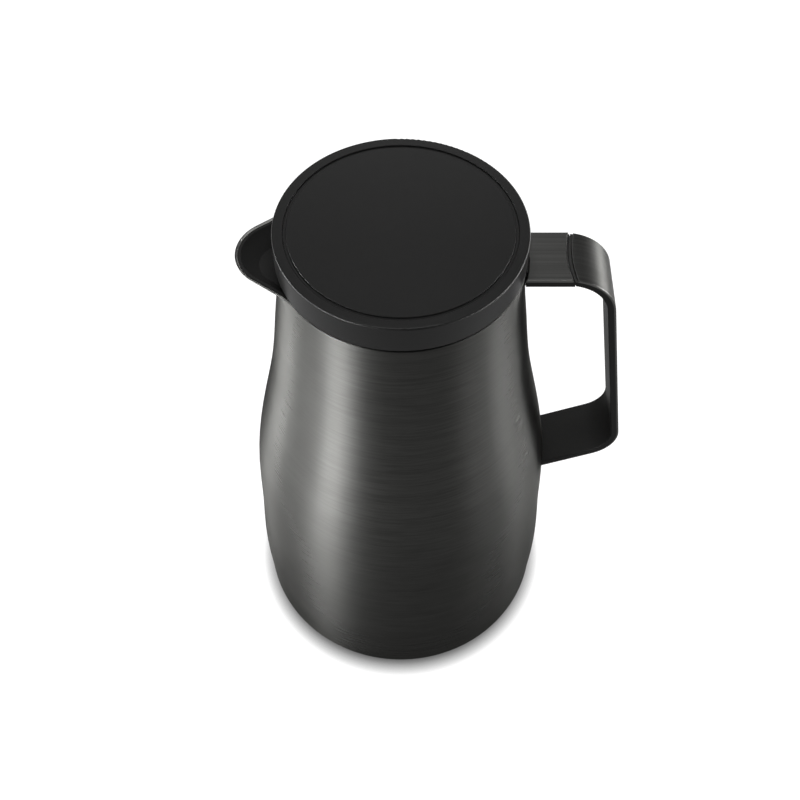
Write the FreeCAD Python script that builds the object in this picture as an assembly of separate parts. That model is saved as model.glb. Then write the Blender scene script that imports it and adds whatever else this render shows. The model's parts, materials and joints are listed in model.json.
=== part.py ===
import FreeCAD, Part
import math
import os

os.makedirs("parts", exist_ok=True)
V = FreeCAD.Vector

# Vessel, all lengths in millimetres, origin on the floor under the axis, spout to -X, handle to +X
rim_height = 208.2
belly_radius = 61.4
neck_radius = 42.2
sheet = 0.8
foot_thickness = 1.2
base_rounding = 6.6
base_hole_share = 0.8
foot_share = 0.98
foot_edge = 0.4
overrun = 6.0
touch_limit = 0.05

# Outside curve: heights as shares of the rim height, swell as shares of belly minus neck
height_shares = [0.148, 0.296, 0.444, 0.592, 0.740, 0.867]
swell_shares = [1.0, 0.927, 0.854, 0.599, 0.281, 0.109]
base_swell_share = 0.9635

# Spout: a round tip with straight flanks at an angle in degrees, its sizes at the lip and shares below it
beak_set = 1.5
beak_radius = 15.2
beak_depth = 18.0
beak_angle = 35.4
beak_root_share = 0.7
beak_fall_shares = [0.0, 0.40, 1.0]
beak_centre_shares = [1.0, 0.955, 0.885]
beak_radius_shares = [1.0, 0.62, 0.30]
beak_flare_share = 0.25
beak_blend = 4.0
rim_edge = 0.35

# Vacuum flask
vacuum_gap = 9.0
flask_floor = 14.0
flask_rounding = 9.0
mouth_land = 16.7
mouth_flange = 3.0
mouth_drop = 8.2
neck_tube = 10.0
shoulder_height_share = 0.5
shoulder_radius_share = 0.62
getter_radius = 5.0
getter_height = 2.5
getter_offset = 20.0
seal_cup_radius = 4.0
seal_cup_height = 2.0

# Pouring insert
seal_thickness = 0.8
insert_wall = 1.0
insert_floor = 1.6
insert_fit = 0.2
insert_lip_drop = 0.4

# Handle strap
strap_drop = 1.9
strap_thickness = 2.9
skin_thickness = 0.7
upper_bend = 18.8
lower_bend = 15.0
strap_edge = 0.3
core_edge = 0.5
upper_lead = 3.6
strap_lead = 3.0
lower_run = 11.0
lower_corner_share = 0.5053
lower_slope_share = 0.475
upper_strap_width = 21.7
lower_strap_width = 22.8

# Thumb piece and its gap to the strap
thumb_length = 13.5
thumb_hollow_radius = 47.4
thumb_gap = 1.6
roll_gap = 0.35
lip_thickness = 0.7
lip_drop = 2.6
lip_width = 15.0
plate_thickness = 1.0
plate_edge = 0.3
shell_gap = 0.6
arm_width = 12.8
notch_gap = 0.6

# Hinge, with the turn in degrees that the rolled joint is shaped for
tilt_reach = 30.0
pin_radius = 1.0
pin_clearance = 0.05
pin_reach = 3.8
pin_drop = 1.7
ear_radius = 2.2
ear_width = 2.0
cradle_width = 8.8
cradle_length = 4.0
cradle_rise = 0.7
side_gap = 0.3
beam_height = 3.4
beam_drop = 6.9
pad_length = 8.0
pad_gap = 2.6
screw_radius = 0.9
screw_head_radius = 1.6
screw_head_height = 1.2
screw_gap = 0.05
screw_spread = 2.3
screw_bite = 1.4
lug_width = 12.0
lug_thickness = 1.0
lug_length = 12.0
lug_gap = 0.05

# Lid
rim_gap = 0.8
band_height = 11.0
band_overhang = 0.1
band_wall = 2.2
ring_width = 4.2
groove_width = 1.0
groove_depth = 0.5
disc_fit = 0.05
disc_thickness = 2.2
ledge_thickness = 1.6
ledge_width = 3.2
lid_edge = 0.6
band_edge = 0.4
disc_edge = 0.2
ring_edge = 0.2
gasket_gap = 0.1
gasket_thickness = 1.1
gasket_set = 1.0
gasket_width = 5.3
plug_fit = 1.3
plug_depth = 9.5
plug_wall = 1.5
flange_margin = 0.5
plug_flange_thickness = 2.0
tower_set = 7.2
foam_gap = 0.1
tab_set = 3.0
tab_gap = 0.1
ledge_skin = 0.3
arm_screw_inset = 5.0
arm_screw_spread = 3.4

# Derived sizes
belly_swell = belly_radius - neck_radius
base_radius = neck_radius + belly_swell * base_swell_share
lid_radius = neck_radius + band_overhang
mouth_radius = neck_radius - mouth_land
beak_centre = neck_radius - beak_set
beak_root = neck_radius * beak_root_share
clear_reach = belly_radius + beak_radius + overrun
band_bottom = rim_height + rim_gap
lid_top = band_bottom + band_height
groove_radius = lid_radius - ring_width
strap_top = rim_height - strap_drop
strap_bottom = strap_top - strap_thickness
arm_bottom = strap_bottom - side_gap
thumb_reach = lid_radius + thumb_length
thumb_centre = thumb_reach + thumb_hollow_radius
upper_corner_reach = thumb_reach + upper_bend - upper_lead
lower_corner_reach = belly_radius + lower_bend + lower_run
lower_corner_height = rim_height * lower_corner_share
pin_x = lid_radius + pin_reach
pin_z = arm_bottom - pin_drop
pin_half = cradle_width / 2 + side_gap + ear_width
mouth_top = rim_height - mouth_drop
flange_bottom = mouth_top - sheet
floor_bottom = mouth_top + seal_thickness
floor_top = floor_bottom + insert_floor
gasket_bottom = floor_top + gasket_gap
flange_seat = gasket_bottom + gasket_thickness
flange_top = flange_seat + plug_flange_thickness
disc_bottom = lid_top - disc_thickness
ledge_bottom = disc_bottom - ledge_thickness
lid_screw_circle = groove_radius - ledge_width / 2
lid_screw_top = disc_bottom - ledge_skin
plug_radius = mouth_radius - plug_fit
tower_radius = plug_radius - tower_set
gasket_inside = plug_radius + gasket_set
gasket_outside = gasket_inside + gasket_width
plug_flange = gasket_outside + flange_margin
arm_screw_place = plug_flange - arm_screw_inset
tab_reach = tower_radius + tab_set
beam_top = strap_top - beam_drop + side_gap
beam_bottom = beam_top - beam_height
pad_start = thumb_reach + thumb_gap + pad_gap / 2
pad_end = pad_start + pad_length


def disc(radius, bottom, top):
    return Part.makeCylinder(radius, top - bottom, V(0, 0, bottom))


def ring(inside, outside, bottom, top):
    return disc(outside, bottom, top).cut(disc(inside, bottom, top))


def post(radius, x, y, bottom, top):
    return Part.makeCylinder(radius, top - bottom, V(x, y, bottom))


def block(x_low, x_high, half_width, z_low, z_high):
    return Part.makeBox(x_high - x_low, 2 * half_width, z_high - z_low, V(x_low, -half_width, z_low))


def plate_from_side(points, half_width):
    """A closed outline drawn in the XZ plane and thickened evenly to both sides."""
    corners = [V(x, -half_width, z) for x, z in points]
    face = Part.Face(Part.makePolygon(corners + corners[:1]))
    return face.extrude(V(0, 2 * half_width, 0))


def revolve(edges):
    face = Part.Face(Part.Wire(Part.__sortEdges__(edges)))
    return face.revolve(V(0, 0, 0), V(0, 0, 1), 360)


def line(first, second):
    return Part.makeLine(first, second)


def stations():
    heights = [rim_height * share for share in height_shares]
    radii = [neck_radius + belly_swell * share for share in swell_shares]
    return [V(r, 0, z) for r, z in zip(radii, heights)]


def outer_curve():
    """Wall line from the top of the base rounding to the rim, upright at both ends."""
    start = V(base_radius, 0, foot_thickness + base_rounding)
    points = [start] + stations() + [V(neck_radius, 0, rim_height)]
    curve = Part.BSplineCurve()
    curve.interpolate(Points=points, InitialTangent=V(0, 0, 1), FinalTangent=V(0, 0, 1))
    return curve, points


def inset_points(inset):
    """The wall line's points moved inwards, square to the wall."""
    curve, points = outer_curve()
    moved = []
    for point in points:
        tangent = curve.tangent(curve.parameter(point))[0]
        moved.append(V(point.x - inset * tangent.z, 0, point.z + inset * tangent.x))
    return moved


def body_of_turning(inset, bottom, top):
    """Solid inside the wall line after moving it inwards, from the floor to a level top."""
    points = inset_points(inset)
    curve = Part.BSplineCurve()
    curve.interpolate(Points=points, InitialTangent=V(0, 0, 1), FinalTangent=V(0, 0, 1))
    rounding = base_rounding - inset
    first = points[0]
    flat = V(first.x - rounding, 0, bottom)
    corner = V(first.x - rounding, 0, first.z)
    turn = math.radians(45)
    middle = corner + V(rounding * math.sin(turn), 0, -rounding * math.cos(turn))
    last = points[-1]
    edges = [line(V(0, 0, bottom), flat)]
    edges.append(Part.Arc(flat, middle, first).toShape())
    edges.append(curve.toShape())
    if top > last.z:
        edges.append(line(last, V(last.x, 0, top)))
    edges.append(line(V(last.x, 0, top), V(0, 0, top)))
    edges.append(line(V(0, 0, top), V(0, 0, bottom)))
    return revolve(edges)


def beak_section(centre, radius, height):
    """Level outline of the spout: a round tip, two straight flanks and a line across inside the neck."""
    lean = math.radians(beak_angle)
    tip = V(-centre - radius, 0, height)
    touch_x = -centre - radius * math.sin(lean)
    touch_y = radius * math.cos(lean)
    root_y = touch_y + (-beak_root - touch_x) * math.tan(lean)
    back_touch = V(touch_x, touch_y, height)
    front_touch = V(touch_x, -touch_y, height)
    back_root = V(-beak_root, root_y, height)
    front_root = V(-beak_root, -root_y, height)
    edges = [Part.Arc(front_touch, tip, back_touch).toShape()]
    edges.append(line(back_touch, back_root))
    edges.append(line(back_root, front_root))
    edges.append(line(front_root, front_touch))
    return Part.Wire(edges)


def beak(inset):
    """Spout as a soft loft of outlines that lean outwards up to the lip and run past it."""
    flare = (1 - beak_radius_shares[1]) * beak_flare_share
    sections = [(-overrun, beak_centre * (1 + flare * beak_flare_share), beak_radius * (1 + flare))]
    for fall, centre, radius in zip(beak_fall_shares, beak_centre_shares, beak_radius_shares):
        sections.append((beak_depth * fall, beak_centre * centre, beak_radius * radius))
    wires = []
    for fall, centre, radius in sections:
        wires.append(beak_section(centre, radius - inset, rim_height - fall))
    return Part.makeLoft(wires, True, False)


def vessel(inset, top):
    """Turned body and beak joined, moved inwards by the inset and cut off level."""
    body = body_of_turning(inset, foot_thickness + inset, top)
    whole = body.fuse(beak(inset))
    reach = clear_reach
    trim = block(-reach, reach, reach, top, rim_height + overrun + overrun)
    return whole.cut(trim).removeSplitter()


def make_outer_shell():
    outside = vessel(0, rim_height)
    wall = body_of_turning(0, foot_thickness, rim_height + overrun).Shells[0]
    joints = []
    for edge in outside.Edges:
        box = edge.BoundBox
        below_lip = box.ZMin < rim_height - beak_blend / 2
        at_beak = box.XMax < -beak_root / 2 and box.ZMin > rim_height - beak_depth
        middle = edge.valueAt((edge.FirstParameter + edge.LastParameter) / 2)
        on_wall = Part.Vertex(middle).distToShape(wall)[0] < touch_limit
        if below_lip and at_beak and on_wall:
            joints.append(edge)
    outside = outside.makeFillet(beak_blend, joints)
    outline = [edge for edge in outside.Edges if edge.BoundBox.ZMin > rim_height - rim_edge]
    outside = outside.makeFillet(rim_edge, outline)
    shell = outside.cut(vessel(sheet, rim_height + overrun))
    hole = base_radius * base_hole_share
    shell = shell.cut(disc(hole, 0, foot_thickness + base_rounding))
    half = arm_width / 2 + notch_gap
    notch = block(mouth_radius, neck_radius + overrun, half, arm_bottom - notch_gap, rim_height + overrun)
    return shell.cut(notch)


def make_shell_base():
    return disc(base_radius * base_hole_share, foot_thickness, foot_thickness + sheet)


def make_foot_pad():
    pad = disc((base_radius - base_rounding) * foot_share, 0, foot_thickness)
    under = [edge for edge in pad.Edges if edge.BoundBox.ZMax < foot_edge and edge.Closed]
    return pad.makeFillet(foot_edge, under)


def flask_solid(inset):
    """Solid inside the flask wall, from its rounded floor up the shoulder to the mouth tube."""
    deep = sheet + vacuum_gap + inset
    points = inset_points(deep)[1:-2]
    tube = mouth_radius + sheet - inset
    tube_bottom = mouth_top - neck_tube
    last = points[-1]
    rise = (tube_bottom - last.z) * shoulder_height_share
    step = (last.x - tube) * shoulder_radius_share
    points.append(V(tube + step, 0, last.z + rise))
    points.append(V(tube, 0, tube_bottom))
    floor = flask_floor + inset
    rounding = flask_rounding - inset
    side = points[0].x
    flat = V(side - rounding, 0, floor)
    corner = V(side - rounding, 0, floor + rounding)
    turn = math.radians(45)
    middle = corner + V(rounding * math.sin(turn), 0, -rounding * math.cos(turn))
    first = V(side, 0, floor + rounding)
    curve = Part.BSplineCurve()
    curve.interpolate(Points=[first] + points, InitialTangent=V(0, 0, 1), FinalTangent=V(0, 0, 1))
    edges = [line(V(0, 0, floor), flat)]
    edges.append(Part.Arc(flat, middle, first).toShape())
    edges.append(curve.toShape())
    top = mouth_top + overrun if inset > 0 else mouth_top
    edges.append(line(points[-1], V(tube, 0, top)))
    edges.append(line(V(tube, 0, top), V(0, 0, top)))
    edges.append(line(V(0, 0, top), V(0, 0, floor)))
    return revolve(edges)


def make_inner_flask():
    flange = disc(mouth_radius + mouth_flange, flange_bottom, mouth_top)
    return flask_solid(0).fuse(flange).cut(flask_solid(sheet)).removeSplitter()


def make_neck_ring():
    slab = ring(mouth_radius + sheet, belly_radius, flange_bottom - sheet, flange_bottom)
    return slab.common(vessel(sheet, rim_height))


def make_getter():
    bottom = foot_thickness + sheet
    return post(getter_radius, getter_offset, 0, bottom, bottom + getter_height)


def make_seal_cup():
    bottom = foot_thickness + sheet
    return post(seal_cup_radius, 0, 0, bottom, bottom + seal_cup_height)


def make_mouth_seal():
    return ring(mouth_radius, mouth_radius + mouth_flange, mouth_top, floor_bottom)


def make_pouring_insert():
    inset = sheet + insert_fit
    reach = clear_reach
    lip = rim_height - insert_lip_drop
    zone = block(-reach, reach, reach, flange_bottom, lip)
    hollow_zone = block(-reach, reach, reach, flange_bottom - sheet, lip + sheet)
    outside = vessel(inset, rim_height + overrun).common(zone)
    hollow = vessel(inset + insert_wall, rim_height + overrun).common(hollow_zone)
    wall = outside.cut(hollow)
    keep_floor = block(-reach, reach, reach, floor_bottom, floor_top)
    floor = outside.common(keep_floor).cut(disc(mouth_radius, 0, rim_height))
    insert = wall.fuse(floor).removeSplitter()
    half = arm_width / 2 + notch_gap
    slot = block(mouth_radius, neck_radius + overrun, half, floor_top, rim_height + overrun)
    return insert.cut(slot)


def strap_corners(depth):
    """Corner points of the strap's side line, moved in by the depth, start to end."""
    start = V(thumb_reach - strap_lead, 0, strap_top)
    upper = V(upper_corner_reach, 0, strap_top)
    lower = V(lower_corner_reach, 0, lower_corner_height)
    run = lower_corner_reach - mouth_radius
    end = V(mouth_radius, 0, lower_corner_height - run * lower_slope_share)
    points = [start, upper, lower, end]
    directions = []
    for first, second in zip(points, points[1:]):
        directions.append((second - first).normalize())
    normals = [V(d.z, 0, -d.x) for d in directions]
    moved = [start + normals[0] * depth]
    for index in (1, 2):
        before = normals[index - 1]
        after = normals[index]
        share = depth / (1 + before.dot(after))
        moved.append(points[index] + (before + after) * share)
    moved.append(end + normals[2] * depth)
    return moved, directions


def strap_line(depth):
    """Straights and round bends of the strap's side line at one depth below its outside."""
    points, directions = strap_corners(depth)
    edges = []
    here = points[0]
    for index, bend in ((1, upper_bend), (2, lower_bend)):
        radius = bend - depth
        before = directions[index - 1]
        after = directions[index]
        half_turn = before.getAngle(after) / 2
        tangent = radius * math.tan(half_turn)
        first = points[index] - before * tangent
        second = points[index] + after * tangent
        towards = (after - before).normalize()
        middle = points[index] + towards * (radius / math.cos(half_turn) - radius)
        edges.append(line(here, first))
        edges.append(Part.Arc(first, middle, second).toShape())
        here = second
    edges.append(line(here, points[3]))
    return edges, points[0], points[3]


def strap_half_width(height):
    """Half the strap's width, which grows evenly from its top down to its lower corner."""
    share = (strap_top - height) / (strap_top - lower_corner_height)
    return (upper_strap_width + (lower_strap_width - upper_strap_width) * share) / 2


def strap_layer(top_depth, low_depth):
    """One layer of the strap, tapered in width and shaped to the wall at its lower end."""
    upper_edges, upper_start, upper_end = strap_line(top_depth)
    lower_edges, lower_start, lower_end = strap_line(low_depth)
    edges = upper_edges + lower_edges
    edges.append(line(upper_start, lower_start))
    edges.append(line(upper_end, lower_end))
    face = Part.Face(Part.Wire(Part.__sortEdges__(edges)))
    wide = lower_strap_width
    layer = face.extrude(V(0, 2 * wide, 0))
    layer.translate(V(0, -wide, 0))
    high = strap_half_width(lid_top)
    low = strap_half_width(0)
    corners = [V(0, -low, 0), V(0, -high, lid_top), V(0, high, lid_top), V(0, low, 0)]
    front = Part.Face(Part.makePolygon(corners + corners[:1]))
    layer = layer.common(front.extrude(V(lower_corner_reach + overrun, 0, 0)))
    return layer.cut(body_of_turning(0, foot_thickness, rim_height))


def swing_sector(gap, start_turn, turn):
    """Path of the thumb piece's top as it turns on the pin, with its far edge moved out by a gap."""
    length = thumb_reach + overrun - pin_x
    top = Part.makePlane(length, 2 * lower_strap_width, V(pin_x, -lower_strap_width, strap_top))
    hollow = Part.makeCircle(thumb_hollow_radius - gap, V(thumb_centre, 0, strap_top), V(0, 0, 1))
    top = top.cut(Part.Face(Part.Wire(hollow)))
    pin = V(pin_x, 0, pin_z)
    top.rotate(pin, V(0, 1, 0), start_turn)
    return top.Faces[0].revolve(pin, V(0, 1, 0), turn)


def screw_places():
    middle = (pad_start + pad_end) / 2 - screw_head_radius / 2
    return [V(middle, -screw_spread, 0), V(middle, screw_spread, 0)]


def screw_top():
    return strap_bottom - screw_gap


def long_edges(layer, depth):
    """The two long edges of a strap layer, piece by piece, on its face at one depth."""
    face_line = Part.Wire(strap_line(depth)[0])
    found = []
    for edge in layer.Edges:
        middle = edge.valueAt((edge.FirstParameter + edge.LastParameter) / 2)
        at_side = abs(middle.y) > upper_strap_width / 2 - strap_edge
        on_face = Part.Vertex(V(middle.x, 0, middle.z)).distToShape(face_line)[0] < touch_limit
        if at_side and on_face and edge.Length > strap_thickness:
            found.append(edge)
    return found


def make_handle_skin():
    skin = strap_layer(0, skin_thickness)
    reach = thumb_hollow_radius - thumb_gap
    start_zone = block(0, thumb_centre, lower_strap_width, strap_top - upper_bend, lid_top)
    skin = skin.cut(start_zone.cut(Part.makeCylinder(reach, lid_top, V(thumb_centre, 0, 0))))
    rounded = long_edges(skin, 0)
    for edge in skin.Edges:
        middle = edge.valueAt((edge.FirstParameter + edge.LastParameter) / 2)
        at_start = middle.x < thumb_reach + thumb_gap + strap_edge and abs(middle.y) < strap_edge
        if at_start and middle.z > strap_top - strap_edge:
            rounded.append(edge)
    return skin.makeFillet(strap_edge, rounded)


def make_handle_core():
    core = strap_layer(skin_thickness, strap_thickness)
    core = core.makeFillet(core_edge, long_edges(core, strap_thickness))
    sweep = tilt_reach + tilt_reach
    core_top = strap_top - skin_thickness
    lip = swing_sector(roll_gap + lip_thickness, -tilt_reach, sweep)
    lip_end = thumb_reach + lip_width
    lip = lip.common(block(pin_x, lip_end, lip_width / 2, strap_bottom - lip_drop, core_top - skin_thickness))
    lip = lip.common(block(thumb_reach, lip_end, lip_width / 2, strap_bottom - lip_drop, core_top))
    core = core.fuse(lip).cut(swing_sector(roll_gap, -tilt_reach, sweep)).removeSplitter()
    for place in screw_places():
        hole = post(screw_radius + screw_gap, place.x, place.y, beam_bottom, screw_top() + screw_gap)
        core = core.cut(hole)
    return core.cut(lug_shape(lug_gap))


def lug_shape(gap):
    """Tongue on the wall, lying in the middle of the strap's lower arm."""
    depth = (skin_thickness + strap_thickness) / 2
    points, directions = strap_corners(depth)
    along = directions[2]
    wall_x = belly_radius - lug_thickness
    step = (points[2].x - wall_x) / -along.x
    root = points[2] + along * (step + lug_length)
    length = 2 * lug_length + gap
    half = lug_thickness / 2 + gap
    width = lug_width + 2 * gap
    tongue = Part.makeBox(length, width, 2 * half, V(0, -width / 2, -half))
    angle = math.degrees(math.atan(lower_slope_share))
    tongue.rotate(V(0, 0, 0), V(0, 1, 0), -angle)
    tongue.translate(root)
    return tongue


def make_lower_lug():
    return lug_shape(0).cut(body_of_turning(0, foot_thickness, rim_height))


def make_upper_bracket():
    """Beam from the wall to the strap, with an open cradle for the hinge pin."""
    half = cradle_width / 2
    cradle_start = pin_x - cradle_length / 2
    cradle_end = pin_x + cradle_length / 2
    cradle_top = pin_z + cradle_rise
    outline = [(mouth_radius, beam_bottom), (pad_end, beam_bottom), (pad_end, strap_top)]
    outline += [(pad_start, strap_top), (pad_start, beam_top), (cradle_end, beam_top)]
    outline += [(cradle_end, cradle_top), (cradle_start, cradle_top), (cradle_start, beam_top)]
    outline += [(mouth_radius, beam_top)]
    bracket = plate_from_side(outline, half)
    bracket = bracket.cut(body_of_turning(0, foot_thickness, rim_height))
    strap_edges, start, end = strap_line(strap_thickness)
    above = strap_edges[:2]
    top_start = V(start.x, 0, lid_top)
    turn_end = above[1].Vertexes[-1].Point
    outer = V(pad_end + pad_length, 0, turn_end.z)
    above = above + [line(turn_end, outer), line(outer, V(outer.x, 0, lid_top))]
    above = above + [line(V(outer.x, 0, lid_top), top_start), line(top_start, start)]
    strap_zone = Part.Face(Part.Wire(Part.__sortEdges__(above))).extrude(V(0, 2 * half, 0))
    strap_zone.translate(V(0, -half, 0))
    bracket = bracket.cut(strap_zone)
    hole = pin_radius + pin_clearance
    seat = Part.makeCylinder(hole, cradle_width, V(pin_x, -half, pin_z), V(0, 1, 0))
    mouth = block(pin_x - hole, pin_x + hole, half, pin_z, strap_top)
    bracket = bracket.cut(seat).cut(mouth)
    for place in screw_places():
        head_top = beam_bottom + screw_head_height + screw_gap
        head = post(screw_head_radius + screw_gap, place.x, place.y, beam_bottom, head_top)
        shank = post(screw_radius + screw_gap, place.x, place.y, beam_bottom, strap_top)
        bracket = bracket.cut(head).cut(shank)
    return bracket


def make_handle_screw(place):
    head_top = beam_bottom + screw_head_height
    head = post(screw_head_radius, place.x, place.y, beam_bottom, head_top)
    shank = post(screw_radius, place.x, place.y, head_top, screw_top())
    return head.fuse(shank)


def make_hinge_pin():
    return Part.makeCylinder(pin_radius, 2 * pin_half, V(pin_x, -pin_half, pin_z), V(0, 1, 0))


def thumb_outline(bottom, top):
    """Plan of the thumb piece: round to the wall inside, hollow towards the strap outside."""
    half = upper_strap_width / 2
    body = block(0, thumb_reach + overrun, half, bottom, top)
    body = body.cut(disc(lid_radius + shell_gap, bottom, top))
    hollow = Part.makeCylinder(thumb_hollow_radius, top - bottom, V(thumb_centre, 0, bottom))
    return body.cut(hollow)


def make_thumb_plate():
    plate = thumb_outline(strap_top - plate_thickness, strap_top)
    outline = [edge for edge in plate.Edges if edge.BoundBox.ZMin > strap_top - plate_edge]
    return plate.makeFillet(plate_edge, outline)


def make_lid_arm():
    """Cranked arm: thumb block outside, neck through the wall, tab on the plug, ears on the pin."""
    plate_bottom = strap_top - plate_thickness
    half = arm_width / 2
    low_end = plug_flange + tab_gap
    tab_bottom = flange_top
    tab_top = tab_bottom + plug_flange_thickness
    bend_end = tab_top - plate_bottom + low_end + plug_flange_thickness
    outline = [(pin_x, arm_bottom), (low_end, arm_bottom), (low_end, tab_bottom)]
    outline += [(tab_reach, tab_bottom), (tab_reach, tab_top), (low_end + plug_flange_thickness, tab_top)]
    outline += [(bend_end, plate_bottom), (pin_x, plate_bottom)]
    rolled = swing_sector(0, 0, tilt_reach).common(
        block(pin_x, thumb_centre, upper_strap_width / 2, arm_bottom, plate_bottom))
    arm = thumb_outline(arm_bottom, plate_bottom).fuse(rolled)
    arm = arm.fuse(plate_from_side(outline, half))
    inner = cradle_width / 2 + side_gap
    for start in (inner, -inner - ear_width):
        ear = Part.makeCylinder(ear_radius, ear_width, V(pin_x, start, pin_z), V(0, 1, 0))
        web = Part.makeBox(2 * ear_radius, ear_width, plate_bottom - pin_z, V(pin_x - ear_radius, start, pin_z))
        arm = arm.fuse(ear).fuse(web)
    hole = pin_radius + pin_clearance
    bore = Part.makeCylinder(hole, 2 * pin_half, V(pin_x, -pin_half, pin_z), V(0, 1, 0))
    arm = arm.cut(bore)
    for side in (-arm_screw_spread, arm_screw_spread):
        hole = post(screw_radius + screw_gap, arm_screw_place, side, tab_bottom, tab_top)
        arm = arm.cut(hole)
    return arm.removeSplitter()


def make_arm_screw(side):
    tab_top = flange_top + plug_flange_thickness
    head = post(screw_head_radius, arm_screw_place, side, tab_top, tab_top + screw_head_height)
    shank = post(screw_radius, arm_screw_place, side, flange_top - screw_bite, tab_top)
    return head.fuse(shank)


def make_lid_ring():
    band = disc(lid_radius, band_bottom, lid_top)
    top_edge = [edge for edge in band.Edges if edge.BoundBox.ZMin > lid_top - lid_edge and edge.Closed]
    band = band.makeFillet(lid_edge, top_edge)
    low_edge = [edge for edge in band.Edges if edge.BoundBox.ZMax < band_bottom + band_edge and edge.Closed]
    band = band.makeFillet(band_edge, low_edge)
    inner = lid_radius - band_wall
    ledge_inside = groove_radius - ledge_width
    band = band.cut(disc(inner, band_bottom - overrun, ledge_bottom))
    band = band.cut(disc(ledge_inside, ledge_bottom - overrun, disc_bottom))
    opening = groove_radius + groove_width / 2
    band = band.cut(disc(opening, disc_bottom, lid_top + overrun))
    band = band.cut(Part.makeCone(opening, opening + ring_edge, ring_edge, V(0, 0, lid_top - ring_edge)))
    for place in lid_screw_places():
        hole = post(screw_radius + screw_gap, place.x, place.y, ledge_bottom - sheet, lid_screw_top + screw_gap)
        band = band.cut(hole)
    return band


def make_lid_disc():
    foot = disc(groove_radius + groove_width / 2 - disc_fit, disc_bottom, lid_top - groove_depth)
    plate = disc(groove_radius - groove_width / 2, disc_bottom, lid_top).fuse(foot).removeSplitter()
    rim = [edge for edge in plate.Edges if edge.BoundBox.ZMin > lid_top - disc_edge and edge.Closed]
    return plate.makeChamfer(disc_edge, rim)


def lid_screw_places():
    places = []
    for turn in (60, 180, 300):
        angle = math.radians(turn)
        places.append(V(lid_screw_circle * math.cos(angle), lid_screw_circle * math.sin(angle), 0))
    return places


def make_lid_plug():
    """Spool-shaped plug: hollow cup in the mouth, sealing flange, tower and fixing flange."""
    cup_bottom = flange_seat - plug_depth
    flange = disc(plug_flange, flange_seat, flange_top)
    cup = disc(plug_radius, cup_bottom, flange_seat)
    tower = disc(tower_radius, flange_top, ledge_bottom)
    fixing = disc(groove_radius, ledge_bottom - plug_flange_thickness, ledge_bottom)
    plug = cup.fuse(flange).fuse(tower).fuse(fixing).removeSplitter()
    plug = plug.cut(disc(plug_radius - plug_wall, cup_bottom + plug_wall, flange_seat))
    plug = plug.cut(disc(tower_radius - plug_wall, flange_seat - plug_wall, lid_top))
    for place in lid_screw_places():
        hole = post(screw_radius + screw_gap, place.x, place.y, ledge_bottom - plug_flange_thickness, ledge_bottom)
        plug = plug.cut(hole)
    for side in (-arm_screw_spread, arm_screw_spread):
        hole = post(screw_radius + screw_gap, arm_screw_place, side, flange_top - screw_bite - screw_gap, flange_top)
        plug = plug.cut(hole)
    return plug


def make_lid_insulation():
    bottom = flange_seat - plug_depth + plug_wall
    cup = disc(plug_radius - plug_wall - foam_gap, bottom, flange_seat - foam_gap)
    tower = disc(tower_radius - plug_wall - foam_gap, flange_seat - plug_wall, disc_bottom)
    return cup.fuse(tower).removeSplitter()


def make_lid_gasket():
    return ring(gasket_inside, gasket_outside, gasket_bottom, flange_seat)


def make_lid_screw(place):
    bottom = ledge_bottom - plug_flange_thickness
    head = post(screw_head_radius, place.x, place.y, bottom - screw_head_height, bottom)
    shank = post(screw_radius, place.x, place.y, bottom, lid_screw_top)
    return head.fuse(shank)


pieces = {
    "outer_shell": make_outer_shell(),
    "shell_base": make_shell_base(),
    "foot_pad": make_foot_pad(),
    "inner_flask": make_inner_flask(),
    "neck_ring": make_neck_ring(),
    "getter": make_getter(),
    "seal_cup": make_seal_cup(),
    "mouth_seal": make_mouth_seal(),
    "pouring_insert": make_pouring_insert(),
    "handle_skin": make_handle_skin(),
    "handle_core": make_handle_core(),
    "upper_bracket": make_upper_bracket(),
    "lower_lug": make_lower_lug(),
    "handle_screw_front": make_handle_screw(screw_places()[0]),
    "handle_screw_back": make_handle_screw(screw_places()[1]),
    "hinge_pin": make_hinge_pin(),
    "lid_ring": make_lid_ring(),
    "lid_disc": make_lid_disc(),
    "lid_plug": make_lid_plug(),
    "lid_insulation": make_lid_insulation(),
    "lid_gasket": make_lid_gasket(),
    "lid_arm": make_lid_arm(),
    "thumb_plate": make_thumb_plate(),
    "arm_screw_front": make_arm_screw(-arm_screw_spread),
    "arm_screw_back": make_arm_screw(arm_screw_spread),
    "lid_screw_back": make_lid_screw(lid_screw_places()[0]),
    "lid_screw_spout": make_lid_screw(lid_screw_places()[1]),
    "lid_screw_front": make_lid_screw(lid_screw_places()[2]),
}

for name, shape in pieces.items():
    box = shape.BoundBox
    sizes = [round(value, 2) for value in (box.XMin, box.XMax, box.YMin, box.YMax, box.ZMin, box.ZMax)]
    print(name, shape.isValid(), len(shape.Solids), len(shape.Faces), round(shape.Volume, 1), sizes)
    shape.exportStep("parts/" + name + ".step")
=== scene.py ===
# %% [markdown]
# # A thermal jug, dressed for its portrait
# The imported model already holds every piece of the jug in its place, in metres. This lesson loads it as a
# fixed frame, gives each piece a finish that is worked out from sums, and builds a small studio around it.

import json
import math

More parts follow.
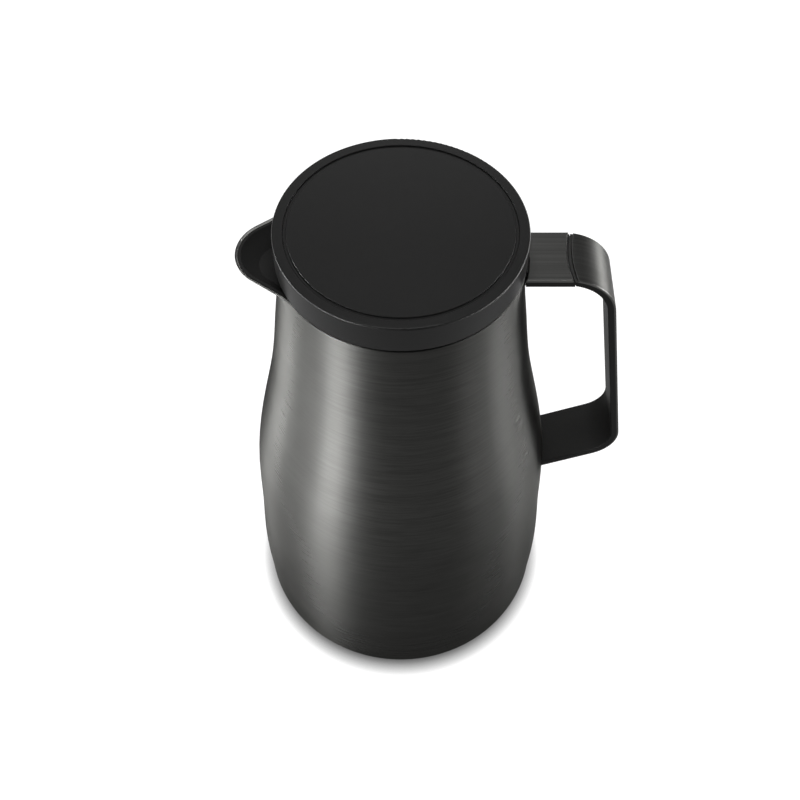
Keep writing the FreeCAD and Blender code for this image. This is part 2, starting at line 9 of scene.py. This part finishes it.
import bpy
import numpy as np
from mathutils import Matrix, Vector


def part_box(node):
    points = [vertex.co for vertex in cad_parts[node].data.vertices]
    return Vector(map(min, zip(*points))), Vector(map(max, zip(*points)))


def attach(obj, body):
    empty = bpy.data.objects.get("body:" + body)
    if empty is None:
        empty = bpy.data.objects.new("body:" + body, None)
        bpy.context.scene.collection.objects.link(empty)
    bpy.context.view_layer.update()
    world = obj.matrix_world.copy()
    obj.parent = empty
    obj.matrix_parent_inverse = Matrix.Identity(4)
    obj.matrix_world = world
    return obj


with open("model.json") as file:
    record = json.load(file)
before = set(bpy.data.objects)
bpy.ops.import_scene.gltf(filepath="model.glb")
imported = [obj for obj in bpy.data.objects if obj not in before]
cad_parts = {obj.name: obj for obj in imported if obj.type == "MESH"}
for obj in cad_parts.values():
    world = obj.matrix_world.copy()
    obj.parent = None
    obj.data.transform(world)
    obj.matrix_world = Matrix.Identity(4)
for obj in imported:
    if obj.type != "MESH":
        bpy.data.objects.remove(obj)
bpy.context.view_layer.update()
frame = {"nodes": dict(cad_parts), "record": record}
nodes = frame["nodes"]
print("pieces in the frame:", len(nodes))

# %% [markdown]
# ## The camera
# The jug is seen from above its front, so the lid shows as an ellipse and the wall shrinks towards the
# foot. That strong perspective means a camera close by. Its place was found from the outlines of the lid
# and of the foot, and it is written as a place, one tilt and a focal length, with no shift.

# %% Camera
CAMERA_PLACE = (-0.0003, -0.2642, 0.5008)
CAMERA_TILT = math.radians(34.88)
CAMERA_LENS = 52.67
CAMERA_SENSOR = 36.0

camera_data = bpy.data.cameras.new("portrait_camera")
camera_data.lens = CAMERA_LENS
camera_data.sensor_width = CAMERA_SENSOR
camera_data.sensor_fit = "HORIZONTAL"
camera = bpy.data.objects.new("portrait_camera", camera_data)
camera.location = CAMERA_PLACE
camera.rotation_euler = (CAMERA_TILT, 0.0, 0.0)
bpy.context.scene.collection.objects.link(camera)
bpy.context.scene.camera = camera
bpy.context.scene.view_settings.view_transform = "Standard"
print("camera at", CAMERA_PLACE)

# %% [markdown]
# ## Sums on sockets
# A material is a graph of small sums. Drawing the graph node by node in code hides the sum, so one small
# class wraps a socket: adding, multiplying or raising such values adds the Math nodes, and one method
# adds any other node. The reflected forms let a plain number stand first, as in one minus a mask.


# %% A socket that can be reckoned with
class Value:
    """A socket of a node tree. Python's operators on it add the Math nodes that do the same sum."""

    def __init__(self, tree, socket):
        self.tree = tree
        self.socket = socket

    def node(self, kind, settings=None, sockets=None, output=0):
        """Any node: its settings are set first, then its sockets get numbers, colours or links."""
        made = self.tree.nodes.new(kind)
        for name, setting in (settings or {}).items():
            setattr(made, name, setting)
        for name, given in (sockets or {}).items():
            if isinstance(given, Value):
                self.tree.links.new(given.socket, made.inputs[name])
            else:
                made.inputs[name].default_value = given
        return Value(self.tree, made.outputs[output])

    def sum(self, operation, first, second):
        """One Math node on two values, either of which may be a plain number."""
        return self.node("ShaderNodeMath", {"operation": operation}, {0: first, 1: second})

    def __add__(self, other):
        return self.sum("ADD", self, other)

    def __radd__(self, other):
        return self.sum("ADD", other, self)

    def __sub__(self, other):
        return self.sum("SUBTRACT", self, other)

    def __rsub__(self, other):
        return self.sum("SUBTRACT", other, self)

    def __mul__(self, other):
        return self.sum("MULTIPLY", self, other)

    def __rmul__(self, other):
        return self.sum("MULTIPLY", other, self)

    def __pow__(self, other):
        return self.sum("POWER", self, other)

    def __rpow__(self, other):
        return self.sum("POWER", other, self)


print("operators that add a Math node: + - * **")

# %% [markdown]
# ## Parts that every finish shares
# Each finish starts from the point on the piece in metres, which stays put when the piece moves. Noise on
# a stretched point gives lines: a large factor packs them closely in that direction, a small one lets
# them run. A mask cuts such noise to a straight rise from 0 to 1, and a shader closes the material.

# %% Helpers for patterns
MIDDLE = 0.5


def start_finish(name):
    """An empty material, and the point on the piece that its patterns are worked out from."""
    material = bpy.data.materials.new(name)
    material.use_nodes = True
    material.node_tree.nodes.clear()
    point = Value(material.node_tree, None).node("ShaderNodeTexCoord", output="Object")
    return material, point


def vector_sum(operation, first, second=None, output=0):
    """One Vector Math node on a vector, and on a second one where the sum needs it."""
    sockets = {0: first}
    if second is not None:
        sockets[1] = second
    return first.node("ShaderNodeVectorMath", {"operation": operation}, sockets, output)


def grain(point, stretch, detail, harsh):
    """Noise from 0 to 1 at the point times the stretch."""
    place = vector_sum("MULTIPLY", point, stretch)
    sockets = {"Vector": place, "Scale": 1.0, "Detail": detail, "Roughness": harsh}
    return point.node("ShaderNodeTexNoise", {}, sockets)


def mask(value, low, high):
    """0 below the low level, 1 above the high one, and a straight rise between them."""
    sockets = {"Value": value, "From Min": low, "From Max": high}
    return value.node("ShaderNodeMapRange", {"clamp": True}, sockets)


# The Mix node keeps the sockets of all its data types, so those for colours go by their number.
MIX_SHARE = 0
MIX_FIRST = 6
MIX_SECOND = 7
MIX_COLOUR = 2


def full_colour(colour):
    """A linked colour as it is, and a colour of three numbers with its fourth added."""
    return colour if isinstance(colour, Value) else (*colour, 1.0)


def tint(share, first, second):
    """Colour that goes from the first to the second as the share goes from 0 to 1."""
    sockets = {MIX_SHARE: share, MIX_FIRST: full_colour(first), MIX_SECOND: full_colour(second)}
    return share.node("ShaderNodeMix", {"data_type": "RGBA"}, sockets, MIX_COLOUR)


def close_finish(material, point, sockets, height, depth, strength):
    """Principled shader with these sockets, and a bump of this depth in metres from the height."""
    bump = {"Height": height, "Strength": strength, "Distance": depth}
    normal = point.node("ShaderNodeBump", {}, bump)
    shader = point.node("ShaderNodeBsdfPrincipled", {}, {**sockets, "Normal": normal})
    output = material.node_tree.nodes.new("ShaderNodeOutputMaterial")
    material.node_tree.links.new(shader.socket, output.inputs["Surface"])
    return material


print("patterns swing about the middle of the noise:", MIDDLE)

# %% [markdown]
# ## Bare edge of the lip, with a painted highlight
# The dark coating of the body stops at the rim, and the cut edge of the lip shows lighter steel as a thin
# line. That steel is made light enough to paint the rim's bright highlight line as well. The edge is no
# piece of its own, so a mask finds it on the body: the top millimetre of the wall, where that stands
# outside the lid, and only on the side that faces the pouring channel.

# %% Mask of the bare edge and its painted highlight
RIM_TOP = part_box("outer_shell")[1][2]
LID_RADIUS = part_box("lid_ring")[1][1]
BARE_HIGHLIGHT_FROM = RIM_TOP - 0.0010
BARE_HIGHLIGHT_TO = RIM_TOP - 0.0007
LIP_FROM = LID_RADIUS + 0.0003
LIP_TO = LID_RADIUS + 0.0010
INSIDE_SOFTNESS = 0.15
LEVEL_PLANE = (1.0, 1.0, 0.0)


def bare_edge_highlight(point):
    """1 on the lip's inner edge, bare steel and painted highlight: at the rim's top, outside the lid,
    turned towards the axis.
    """
    height = point.node("ShaderNodeSeparateXYZ", {}, {"Vector": point}, "Z")
    outwards = vector_sum("MULTIPLY", point, LEVEL_PLANE)
    distance = vector_sum("LENGTH", outwards, output="Value")
    normal = point.node("ShaderNodeTexCoord", output="Normal")
    facing = vector_sum("DOT_PRODUCT", normal, vector_sum("NORMALIZE", outwards), "Value")
    outside = mask(facing, -INSIDE_SOFTNESS, INSIDE_SOFTNESS)
    return mask(height, BARE_HIGHLIGHT_FROM, BARE_HIGHLIGHT_TO) * mask(distance, LIP_FROM, LIP_TO) * (1.0 - outside)


print("rim top and lid radius:", RIM_TOP, LID_RADIUS)

# %% [markdown]
# ## Brushed dark steel of the body
# The body is turned while a belt grinds it, so its scratches run round it. They spread each reflection up
# and down into tall bands, which the shader's anisotropy gives: its direction runs round the piece's
# upright axis and a quarter turn sets the spread upright. The lines themselves are noise packed closely
# along the height, felt a little in colour, roughness and bump. A metal also pales where it is seen at a
# slant, and the specular tint holds that back, as the coating does.

# %% Body finish
FINE_SHARE = 0.6
BROAD_SHARE = 0.4
DARK_COATING = (0.0310, 0.0310, 0.0298)
WORN_COATING = (0.0430, 0.0430, 0.0414)
# Lighter steel at the lip's inner edge: the bare cut edge, made light enough to paint the rim's highlight.
BARE_STEEL_HIGHLIGHT = (0.25, 0.249, 0.241)
QUARTER_TURN = 0.25


def brushed_body():
    """Metal from dark to worn coating along the lines, with lighter bare steel as a painted highlight at
    the lip's edge.
    """
    material, point = start_finish("brushed_dark_steel")
    fine = grain(point, (90.0, 90.0, 2400.0), detail=3.0, harsh=0.6)
    broad = grain(point, (30.0, 30.0, 1000.0), detail=2.0, harsh=0.5)
    lines = fine * FINE_SHARE + broad * BROAD_SHARE
    smudge = grain(point, (22.0, 22.0, 22.0), detail=2.0, harsh=0.5)
    coating = tint(mask(lines, 0.38, 0.62), DARK_COATING, WORN_COATING)
    sockets = {
        # The bare steel at the lip's edge also paints the rim's highlight line.
        "Base Color": tint(bare_edge_highlight(point), coating, BARE_STEEL_HIGHLIGHT),
        "Metallic": 1.0,
        "Roughness": 0.50 + (lines - MIDDLE) * 0.08 + (smudge - MIDDLE) * 0.06,
        "Specular Tint": (0.35, 0.35, 0.35, 1.0),
        "Anisotropic": 0.88,
        "Anisotropic Rotation": QUARTER_TURN,
    }
    return close_finish(material, point, sockets, lines, depth=0.00002, strength=0.05)


shell_steel = brushed_body()
print("made", shell_steel.name, "of", len(shell_steel.node_tree.nodes), "nodes")

# %% [markdown]
# ## Brushed strap and thumb plate
# The strap was brushed along its length, so here the noise is packed closely across the width. Its edges
# are rounded in the solid and catch the light by themselves.

# %% Strap finish
STRAP_DARK = (0.046, 0.046, 0.0446)
STRAP_LIGHT = (0.070, 0.070, 0.0678)


def brushed_strap():
    """Metal from dark to light along fine lines that run with the strap."""
    material, point = start_finish("brushed_strap_steel")
    fine = grain(point, (30.0, 5600.0, 30.0), detail=3.0, harsh=0.6)
    broad = grain(point, (12.0, 1100.0, 12.0), detail=2.0, harsh=0.5)
    lines = fine * FINE_SHARE + broad * BROAD_SHARE
    smudge = grain(point, (40.0, 40.0, 40.0), detail=2.0, harsh=0.5)
    sockets = {
        "Base Color": tint(mask(lines, 0.3, 0.7), STRAP_DARK, STRAP_LIGHT),
        "Metallic": 1.0,
        "Roughness": 0.36 + (lines - MIDDLE) * 0.16 + (smudge - MIDDLE) * 0.05,
        "Specular Tint": (0.40, 0.40, 0.40, 1.0),
    }
    return close_finish(material, point, sockets, lines, depth=0.00004, strength=0.15)


strap_steel = brushed_strap()
print("made", strap_steel.name, "of", len(strap_steel.node_tree.nodes), "nodes")

# %% [markdown]
# ## Black mouldings
# Moulded plastic takes the fine spark-eroded grain of its mould. Two sizes of noise make that grain, and
# a slow third one makes the sheen uneven as handling does. The lid is the darkest and has most sheen. The
# core of the handle and the plug are greyer and duller, and the lining of the lip lies between them.

# %% Black finishes
FINE_GRAIN_SHARE = 0.55
COARSE_GRAIN_SHARE = 0.45
MOULD_GRAIN_DEPTH = 0.00003
GRAIN_LIGHTENS = 1.25


def moulded_black(name, base, rough, gloss):
    """Plastic from the base colour to a lighter one on the grain, rougher or smoother where handled."""
    material, point = start_finish(name)
    fine = grain(point, (5200.0, 5200.0, 5200.0), detail=2.0, harsh=0.6)
    coarse = grain(point, (1700.0, 1700.0, 1700.0), detail=2.0, harsh=0.5)
    texture = fine * FINE_GRAIN_SHARE + coarse * COARSE_GRAIN_SHARE
    handled = grain(point, (32.0, 32.0, 32.0), detail=3.0, harsh=0.55)
    light = tuple(level * GRAIN_LIGHTENS for level in base)
    sockets = {
        "Base Color": tint(mask(texture, 0.3, 0.7), base, light),
        "Roughness": rough + (texture - MIDDLE) * 0.14 + (handled - MIDDLE) * 0.10,
        "Specular IOR Level": gloss,
    }
    return close_finish(material, point, sockets, texture, depth=MOULD_GRAIN_DEPTH, strength=0.4)


black_satin = moulded_black("satin_black_lid", (0.0048, 0.0048, 0.0047), rough=0.42, gloss=0.105)
black_plain = moulded_black("plain_black_moulding", (0.0220, 0.0220, 0.0215), rough=0.55, gloss=0.04)
lip_lining = moulded_black("black_lip_lining", (0.0110, 0.0110, 0.0108), rough=0.55, gloss=0.04)
print("made", black_satin.name, black_plain.name, lip_lining.name)

# %% [markdown]
# ## Bright steel inside and turned screws
# What the lid hides still shows when it is lifted out. The liner is bright steel with turning lines and
# faint stains, and it stretches reflections as the body does. The pin and the screws are so small that an
# even fine noise stands for their tool marks.

# %% Steel finishes
LINER_CLEAN = (0.56, 0.555, 0.54)
LINER_STAINED = (0.47, 0.462, 0.445)
SCREW_DARK = (0.40, 0.395, 0.385)
SCREW_LIGHT = (0.55, 0.545, 0.53)


def bright_steel():
    """Metal from clean to stained, with turning lines in roughness and bump."""
    material, point = start_finish("bright_liner_steel")
    lines = grain(point, (14.0, 14.0, 2600.0), detail=3.0, harsh=0.6)
    stain = grain(point, (30.0, 30.0, 12.0), detail=3.0, harsh=0.55)
    sockets = {
        "Base Color": tint(mask(stain, 0.3, 0.75), LINER_CLEAN, LINER_STAINED),
        "Metallic": 1.0,
        "Roughness": 0.24 + (lines - MIDDLE) * 0.16 + stain * 0.05,
        "Anisotropic": 0.6,
        "Anisotropic Rotation": QUARTER_TURN,
    }
    return close_finish(material, point, sockets, lines, depth=0.00004, strength=0.3)


def turned_steel():
    """Metal from dark to light on fine tool marks, which its roughness and bump follow."""
    material, point = start_finish("turned_screw_steel")
    marks = grain(point, (900.0, 900.0, 900.0), detail=3.0, harsh=0.6)
    sockets = {
        "Base Color": tint(mask(marks, 0.3, 0.7), SCREW_DARK, SCREW_LIGHT),
        "Metallic": 1.0,
        "Roughness": 0.30 + (marks - MIDDLE) * 0.2,
    }
    return close_finish(material, point, sockets, marks, depth=0.00003, strength=0.3)


plain_steel = bright_steel()
screw_steel = turned_steel()
print("made", plain_steel.name, screw_steel.name)

# %% [markdown]
# ## Seals and foam
# The seals and the foot are soft and slightly chalky, so dust lightens them and their surface is a fine
# matt grain. The foam is a mass of closed cells, which Voronoi noise gives as the distance to the nearest
# cell's middle.

# %% Soft finishes
DUST_LIGHTENS = 1.2
DUST_ADDS = 0.01
FOAM_PALE = (0.74, 0.72, 0.66)
FOAM_DEEP = (0.58, 0.56, 0.50)
FOAM_CELLS = 700.0


def soft_seal(name, base, rough):
    """Matt rubber from the base colour to a dusty one, with a chalky grain."""
    material, point = start_finish(name)
    chalk = grain(point, (700.0, 700.0, 700.0), detail=3.0, harsh=0.6)
    dust = grain(point, (60.0, 60.0, 60.0), detail=3.0, harsh=0.5)
    pale = tuple(level * DUST_LIGHTENS + DUST_ADDS for level in base)
    sockets = {
        "Base Color": tint(mask(dust, 0.35, 0.75), base, pale),
        "Roughness": rough + (chalk - MIDDLE) * 0.16,
    }
    return close_finish(material, point, sockets, chalk, depth=0.00006, strength=0.4)


def cell_foam():
    """Foam from pale cell middles to deeper walls, by the distance to the nearest middle."""
    material, point = start_finish("closed_cell_foam")
    cells = point.node("ShaderNodeTexVoronoi", {}, {"Vector": point, "Scale": FOAM_CELLS}, "Distance")
    sockets = {
        "Base Color": tint(mask(cells, 0.0, 0.8), FOAM_PALE, FOAM_DEEP),
        "Roughness": 0.75 + cells * 0.15,
    }
    return close_finish(material, point, sockets, cells, depth=0.0003, strength=0.6)


rubber = soft_seal("foot_rubber", (0.022, 0.022, 0.022), rough=0.7)
silicone = soft_seal("grey_silicone", (0.32, 0.32, 0.31), rough=0.5)
foam = cell_foam()
print("made", rubber.name, silicone.name, foam.name)

# %% [markdown]
# ## Which piece gets which finish
# The record gives every piece a slot. One table from slot to material dresses all the solids at once. The
# lining of the lip is darker than the other pieces of its slot, so it has a finish of its own.

# %% Dress the solids
finishes = {
    "shell_steel": shell_steel,
    "strap_steel": strap_steel,
    "plain_steel": plain_steel,
    "screw_steel": screw_steel,
    "black_satin": black_satin,
    "black_plain": black_plain,
    "rubber": rubber,
    "silicone": silicone,
    "foam": foam,
}
own_finishes = {"pouring_insert": lip_lining}
slot_of_node = {row["node"]: row["material_slot"] for row in frame["record"]["subparts"]}
for name, piece in nodes.items():
    finish = own_finishes.get(name, finishes[slot_of_node[name]])
    piece.data.materials.clear()
    piece.data.materials.append(finish)
print("dressed", len(nodes), "solids in", len(finishes) + len(own_finishes), "finishes")

# %% [markdown]
# ## Dark strip in the rolled seam, standing in for shade
# The end of the thumb plate swings in the hollow end of the strap, and a hair of play is left between them.
# A dark rubber strip fixed in the hollow fills that play as painted shade, so no light shows through it.
# Its section is a slice of a ring about the hinge pin, so the plate's end slides past it at every tilt, and
# the ring grows towards both sides as the bent seam does. A section carried along a path is a grid, so
# whole arrays make it.

# %% Dark seam strip, as painted shade
SHADE_STRIP_INSIDE = 0.01095
SHADE_STRIP_OUTSIDE = 0.01123
SHADE_STRIP_FROM = math.radians(-1.0)
SHADE_STRIP_TO = math.radians(17.0)
SHADE_STRIP_HALF = 0.007
SEAM_BEND = 0.0528
SHADE_STRIP_STEPS = 12
SHADE_STRIP_STATIONS = 15


def seam_shade_strip(centre_x, centre_z):
    """Ring slice about the pin: at every station the radius grows by across squared over twice the bend."""
    rise = np.linspace(SHADE_STRIP_FROM, SHADE_STRIP_TO, SHADE_STRIP_STEPS)
    loop_angle = np.concatenate([rise, rise[::-1]])
    loop_radius = np.repeat([SHADE_STRIP_INSIDE, SHADE_STRIP_OUTSIDE], SHADE_STRIP_STEPS)
    across = np.linspace(-SHADE_STRIP_HALF, SHADE_STRIP_HALF, SHADE_STRIP_STATIONS)
    radius = loop_radius[None, :] + across[:, None] ** 2 / (2.0 * SEAM_BEND)
    x = centre_x + radius * np.cos(loop_angle)
    z = centre_z + radius * np.sin(loop_angle)
    y = np.broadcast_to(across[:, None], x.shape)
    points = np.stack([x, y, z], axis=-1).reshape(-1, 3)
    count = len(loop_angle)
    station, spot = np.meshgrid(np.arange(SHADE_STRIP_STATIONS - 1), np.arange(count), indexing="ij")
    after = (spot + 1) % count
    near_row = station * count
    far_row = near_row + count
    corners = [near_row + spot, near_row + after, far_row + after, far_row + spot]
    sides = np.stack(corners, axis=-1).reshape(-1, 4)
    front = np.arange(count)[::-1].tolist()
    back = (np.arange(count) + (SHADE_STRIP_STATIONS - 1) * count).tolist()
    return points, sides.tolist() + [front, back]


pin_low, pin_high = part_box("hinge_pin")
pin_x = (pin_low[0] + pin_high[0]) / 2
pin_z = (pin_low[2] + pin_high[2]) / 2
shade_strip_points, shade_strip_faces = seam_shade_strip(pin_x, pin_z)
shade_strip_mesh = bpy.data.meshes.new("seam_shade_strip")
shade_strip_mesh.from_pydata(shade_strip_points.tolist(), [], shade_strip_faces)
# Dark rubber on the strip stands in for the shade in the seam's play.
shade_strip_mesh.materials.append(rubber)
shade_strip = bpy.data.objects.new("seam_shade_strip", shade_strip_mesh)
bpy.context.scene.collection.objects.link(shade_strip)
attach(shade_strip, "jug")
print("wiper faces:", len(shade_strip_faces))

# %% [markdown]
# ## Floor
# The jug stands on a plain white floor that fills the view. It is a wide disc, finer towards the middle.

# %% Shape of the floor
FLOOR_RADIUS = 3.0
FLOOR_RINGS = 24
FLOOR_SPOKES = 96


def polar_disc(radius, rings, spokes):
    """Points at radius times (ring share squared) on every spoke, joined ring to ring into a disc."""
    share = np.linspace(0.0, 1.0, rings + 1)[1:] ** 2
    angle = np.linspace(0.0, 2.0 * np.pi, spokes, endpoint=False)
    grid_share, grid_angle = np.meshgrid(share, angle, indexing="ij")
    x = radius * grid_share * np.cos(grid_angle)
    y = radius * grid_share * np.sin(grid_angle)
    points = np.stack([x, y, np.zeros_like(x)], axis=-1).reshape(-1, 3)
    points = np.vstack([points, [[0.0, 0.0, 0.0]]])
    ring, spoke = np.meshgrid(np.arange(rings - 1), np.arange(spokes), indexing="ij")
    after = (spoke + 1) % spokes
    inner_row = ring * spokes
    outer_row = inner_row + spokes
    corners = [inner_row + spoke, outer_row + spoke, outer_row + after, inner_row + after]
    quads = np.stack(corners, axis=-1).reshape(-1, 4)
    first = np.arange(spokes)
    middle = np.full(spokes, len(points) - 1)
    fan = np.stack([middle, first, (first + 1) % spokes], axis=-1)
    return points, quads.tolist() + fan.tolist()


floor_points, floor_faces = polar_disc(FLOOR_RADIUS, FLOOR_RINGS, FLOOR_SPOKES)
print("floor faces:", len(floor_faces))

# %% [markdown]
# ## Finish of the floor
# Where the camera, a reflection or glass looks at the floor, it glows up to white, so the white comes from
# the floor and not from more light on the jug. The jug still has to stand on it: close to the foot, a
# short occlusion dims that glow for the camera and so paints a thin contact shadow, and in reflections a
# long one paints shadow on the floor all round the foot. A grey of its own takes the lamps' soft shadow.

# %% Floor finish
OCCLUSION_RAYS = 16
# Reach and fall of the painted contact shadow, and of the painted shadow the floor shows in reflections.
CONTACT_SHADOW_REACH = 0.0075
CONTACT_SHADOW_FALL = 1.9
REFLECTED_SHADOW_REACH = 0.3
REFLECTED_SHADOW_FALL = 0.9
WHITE = (1.0, 1.0, 1.0, 1.0)
FLOOR_GREY = (0.16, 0.16, 0.16, 1.0)


def white_floor():
    """Grey plus a white glow times occlusion, which paints shadow: the short one for the camera, the long
    one in mirrors.
    """
    material = bpy.data.materials.new("white_floor")
    material.use_nodes = True
    tree = material.node_tree
    tree.nodes.clear()
    start = Value(tree, None)
    path = tree.nodes.new("ShaderNodeLightPath")
    direct = Value(tree, path.outputs["Is Camera Ray"])
    mirrored = Value(tree, path.outputs["Is Glossy Ray"])
    through = Value(tree, path.outputs["Is Transmission Ray"])
    rays = {"samples": OCCLUSION_RAYS}
    contact_shadow = start.node("ShaderNodeAmbientOcclusion", rays, {"Distance": CONTACT_SHADOW_REACH}, "AO")
    reflected_shadow = start.node("ShaderNodeAmbientOcclusion", rays, {"Distance": REFLECTED_SHADOW_REACH}, "AO")
    # Occlusion dims the glow: a painted contact shadow for the camera, a painted shadow in reflections.
    seen = direct * contact_shadow ** CONTACT_SHADOW_FALL + (mirrored + through) * reflected_shadow ** REFLECTED_SHADOW_FALL
    glow = start.node("ShaderNodeEmission", {}, {"Color": WHITE, "Strength": seen})
    plain = start.node("ShaderNodeBsdfDiffuse", {}, {"Color": FLOOR_GREY})
    both = start.node("ShaderNodeAddShader", {}, {0: plain, 1: glow})
    output = tree.nodes.new("ShaderNodeOutputMaterial")
    tree.links.new(both.socket, output.inputs["Surface"])
    return material


floor_mesh = bpy.data.meshes.new("floor")
floor_mesh.from_pydata(floor_points.tolist(), [], floor_faces)
floor_mesh.materials.append(white_floor())
floor = bpy.data.objects.new("floor", floor_mesh)
bpy.context.scene.collection.objects.link(floor)
print("floor finish:", floor_mesh.materials[0].name)

# %% [markdown]
# ## Studio light
# A brushed wall shows each lamp as a tall band, at half the lamp's angle round from the camera. Bands on
# the left third, at the left edge and at the right therefore call for lamps far round to the left, behind
# the left and at the right. Their beams are narrow, and they are kept from matt surfaces, so the black
# pieces stay black. A low lamp behind the right gives the bend of the strap its highlight, and soft
# lamps behind and overhead light the lid and the thumb plate.

# %% Lamps
AIM = np.array([0.0, 0.0, 0.16])
BAND_LAMP_CLIMB = 6.0
BAND_LAMP_DISTANCE = 0.8
BAND_LAMP_HEIGHT = 0.12
BAND_LAMP_SPREAD = 28.0
AIR_STRENGTH = 0.21


def soft_lamp(name, turn, climb, distance, size, power, spread=180.0):
    """Area lamp aimed at the jug: turn in degrees from the front to the right, climb in degrees upwards."""
    turn = math.radians(turn)
    climb = math.radians(climb)
    level = math.cos(climb)
    away = np.array([math.sin(turn) * level, -math.cos(turn) * level, math.sin(climb)])
    data = bpy.data.lights.new(name, "AREA")
    data.shape = "RECTANGLE"
    data.size, data.size_y = size
    data.energy = power
    data.spread = math.radians(spread)
    lamp = bpy.data.objects.new(name, data)
    place = AIM + away * distance
    lamp.location = place.tolist()
    lamp.rotation_euler = (math.pi / 2 - climb, 0.0, turn)
    bpy.context.scene.collection.objects.link(lamp)
    return lamp


def band_lamp(name, turn, width, power):
    """Narrow beam at the wall that the metal shows as one upright band, and that lights nothing matt."""
    size = (width, BAND_LAMP_HEIGHT)
    lamp = soft_lamp(name, turn, BAND_LAMP_CLIMB, BAND_LAMP_DISTANCE, size, power, BAND_LAMP_SPREAD)
    lamp.visible_diffuse = False
    return lamp


lamps = [
    band_lamp("left_lamp", turn=-48.0, width=0.66, power=1.95),
    band_lamp("left_fill_lamp", turn=-73.0, width=0.40, power=0.26),
    band_lamp("back_left_lamp", turn=-98.0, width=0.60, power=1.38),
    band_lamp("right_fill_lamp", turn=55.0, width=0.36, power=0.08),
    band_lamp("right_lamp", turn=80.0, width=0.54, power=0.48),
    band_lamp("right_edge_lamp", turn=106.0, width=0.54, power=0.55),
    soft_lamp("back_right_lamp", turn=131.0, climb=-4.0, distance=0.8, size=(0.40, 0.18), power=3.6),
    soft_lamp("back_top_lamp", turn=180.0, climb=31.0, distance=1.0, size=(0.60, 0.30), power=2.2),
    soft_lamp("overhead_lamp", turn=180.0, climb=88.0, distance=1.0, size=(0.50, 0.50), power=9.5),
]
world = bpy.data.worlds.new("studio_air")
world.use_nodes = True
background = world.node_tree.nodes["Background"]
background.inputs["Color"].default_value = WHITE
background.inputs["Strength"].default_value = AIR_STRENGTH
bpy.context.scene.world = world
print("lamps:", [lamp.name for lamp in lamps])
